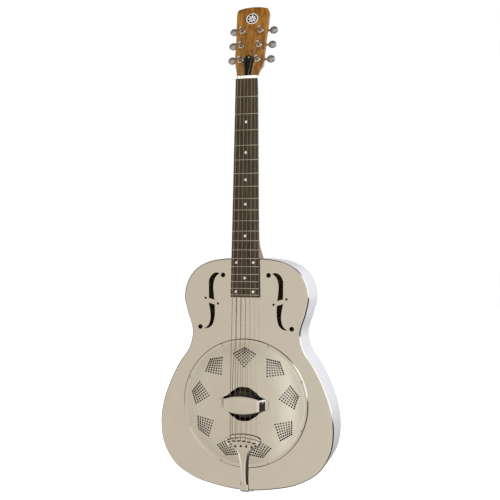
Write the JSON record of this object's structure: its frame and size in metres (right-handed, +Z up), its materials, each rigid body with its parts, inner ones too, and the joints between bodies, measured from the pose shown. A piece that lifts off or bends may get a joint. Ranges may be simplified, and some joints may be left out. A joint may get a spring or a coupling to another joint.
{
  "type": "resonator guitar",
  "caption": "Metal-bodied resonator guitar with a domed cover plate over a spun cone, f-holes, hand rest, fan tailpiece, slim neck and geared tuners.",
  "frame": {"origin": "on the flat back face, on the centre line, level with the saddle", "axes": "+Z up the neck to the headstock, +Y out of the back, so the face with the strings looks along -Y, and +X is the treble side"},
  "size_m": [0.3586, 0.1157, 0.9933],
  "materials": {
    "plated_body": "bright nickel plating on steel sheet, slightly soft reflections",
    "plated_cover": "bright nickel plating",
    "plated_tailpiece": "bright plating",
    "tuner_chrome": "bright chrome",
    "bright_steel": "bright screw steel",
    "spun_aluminium": "spun, fine turning rings",
    "mahogany": "amber brown, satin lacquer",
    "rosewood": "dark brown, open grain, oiled",
    "maple": "plain unfinished",
    "bone": "white, semi-gloss",
    "black_plastic": "gloss black",
    "pearl": "pale pearl inlay",
    "wound_string": "bronze winding",
    "plain_string": "plain steel wire"
  },
  "bodies": {
    "guitar": {"biscuit": "maple", "biscuit_screw": "bright_steel", "body_back": "plated_body", "body_rim": "plated_body", "body_top": "plated_body", "cone": "spun_aluminium", "cover_plate": "plated_cover", "cover_screw_1": "bright_steel", "cover_screw_2": "bright_steel", "cover_screw_3": "bright_steel", "cover_screw_4": "bright_steel", "cover_screw_5": "bright_steel", "cover_screw_6": "bright_steel", "cover_screw_7": "bright_steel", "cover_screw_8": "bright_steel", "fretboard": "rosewood", "hand_rest": "plated_cover", "headstock_emblem": "pearl", "neck": "mahogany", "neck_stick": "maple", "nut": "bone", "saddle": "maple", "sound_well": "plated_body", "stick_post": "maple", "strap_pin": "tuner_chrome", "string_1": "wound_string", "string_2": "wound_string", "string_3": "wound_string", "string_4": "wound_string", "string_5": "plain_string", "string_6": "plain_string", "tailpiece": "plated_tailpiece", "truss_cover_screw": "tuner_chrome", "truss_rod": "bright_steel", "truss_rod_cover": "black_plastic", "tuner_bushing_1": "tuner_chrome", "tuner_bushing_2": "tuner_chrome", "tuner_bushing_3": "tuner_chrome", "tuner_bushing_4": "tuner_chrome", "tuner_bushing_5": "tuner_chrome", "tuner_bushing_6": "tuner_chrome", "tuner_housing_1": "tuner_chrome", "tuner_housing_2": "tuner_chrome", "tuner_housing_3": "tuner_chrome", "tuner_housing_4": "tuner_chrome", "tuner_housing_5": "tuner_chrome", "tuner_housing_6": "tuner_chrome"},
    "tuner_key_1": {"tuner_key_1": "tuner_chrome"},
    "tuner_key_2": {"tuner_key_2": "tuner_chrome"},
    "tuner_key_3": {"tuner_key_3": "tuner_chrome"},
    "tuner_key_4": {"tuner_key_4": "tuner_chrome"},
    "tuner_key_5": {"tuner_key_5": "tuner_chrome"},
    "tuner_key_6": {"tuner_key_6": "tuner_chrome"},
    "tuner_post_1": {"tuner_post_1": "tuner_chrome"},
    "tuner_post_2": {"tuner_post_2": "tuner_chrome"},
    "tuner_post_3": {"tuner_post_3": "tuner_chrome"},
    "tuner_post_4": {"tuner_post_4": "tuner_chrome"},
    "tuner_post_5": {"tuner_post_5": "tuner_chrome"},
    "tuner_post_6": {"tuner_post_6": "tuner_chrome"},
    "truss_rod_nut": {"truss_rod_nut": "bright_steel"}
  },
  "joints": [
    {"name": "tuner_key_1_turn", "type": "hinge", "parent": "guitar", "child": "tuner_key_1", "pos_m": [-0.018, -0.0513, 0.69332], "axis": [1, 0, 0], "continuous": true},
    {"name": "tuner_post_1_turn", "type": "hinge", "parent": "guitar", "child": "tuner_post_1", "pos_m": [-0.018, -0.07231, 0.68886], "axis": [0, -0.9622, 0.2723], "continuous": true},
    {"name": "tuner_key_2_turn", "type": "hinge", "parent": "guitar", "child": "tuner_key_2", "pos_m": [-0.0187, -0.04237, 0.72488], "axis": [1, 0, 0], "continuous": true},
    {"name": "tuner_post_2_turn", "type": "hinge", "parent": "guitar", "child": "tuner_post_2", "pos_m": [-0.0187, -0.06338, 0.72042], "axis": [0, -0.9622, 0.2723], "continuous": true},
    {"name": "tuner_key_3_turn", "type": "hinge", "parent": "guitar", "child": "tuner_key_3", "pos_m": [-0.0194, -0.03344, 0.75644], "axis": [1, 0, 0], "continuous": true},
    {"name": "tuner_post_3_turn", "type": "hinge", "parent": "guitar", "child": "tuner_post_3", "pos_m": [-0.0194, -0.05445, 0.75198], "axis": [0, -0.9622, 0.2723], "continuous": true},
    {"name": "tuner_key_4_turn", "type": "hinge", "parent": "guitar", "child": "tuner_key_4", "pos_m": [0.0194, -0.03344, 0.75644], "axis": [1, 0, 0], "continuous": true},
    {"name": "tuner_post_4_turn", "type": "hinge", "parent": "guitar", "child": "tuner_post_4", "pos_m": [0.0194, -0.05445, 0.75198], "axis": [0, -0.9622, 0.2723], "continuous": true},
    {"name": "tuner_key_5_turn", "type": "hinge", "parent": "guitar", "child": "tuner_key_5", "pos_m": [0.0187, -0.04237, 0.72488], "axis": [1, 0, 0], "continuous": true},
    {"name": "tuner_post_5_turn", "type": "hinge", "parent": "guitar", "child": "tuner_post_5", "pos_m": [0.0187, -0.06338, 0.72042], "axis": [0, -0.9622, 0.2723], "continuous": true},
    {"name": "tuner_key_6_turn", "type": "hinge", "parent": "guitar", "child": "tuner_key_6", "pos_m": [0.018, -0.0513, 0.69332], "axis": [1, 0, 0], "continuous": true},
    {"name": "tuner_post_6_turn", "type": "hinge", "parent": "guitar", "child": "tuner_post_6", "pos_m": [0.018, -0.07231, 0.68886], "axis": [0, -0.9622, 0.2723], "continuous": true},
    {"name": "truss_rod_nut_turn", "type": "hinge", "parent": "guitar", "child": "truss_rod_nut", "pos_m": [0, -0.07329, 0.66173], "axis": [0, 0.014, 0.9999], "range_deg": [-180, 180]}
  ],
  "couplings": [
    {"joint": "tuner_post_1_turn", "follows": "tuner_key_1_turn", "ratio": 0.071429},
    {"joint": "tuner_post_2_turn", "follows": "tuner_key_2_turn", "ratio": 0.071429},
    {"joint": "tuner_post_3_turn", "follows": "tuner_key_3_turn", "ratio": 0.071429},
    {"joint": "tuner_post_4_turn", "follows": "tuner_key_4_turn", "ratio": 0.071429},
    {"joint": "tuner_post_5_turn", "follows": "tuner_key_5_turn", "ratio": 0.071429},
    {"joint": "tuner_post_6_turn", "follows": "tuner_key_6_turn", "ratio": 0.071429}
  ]
}
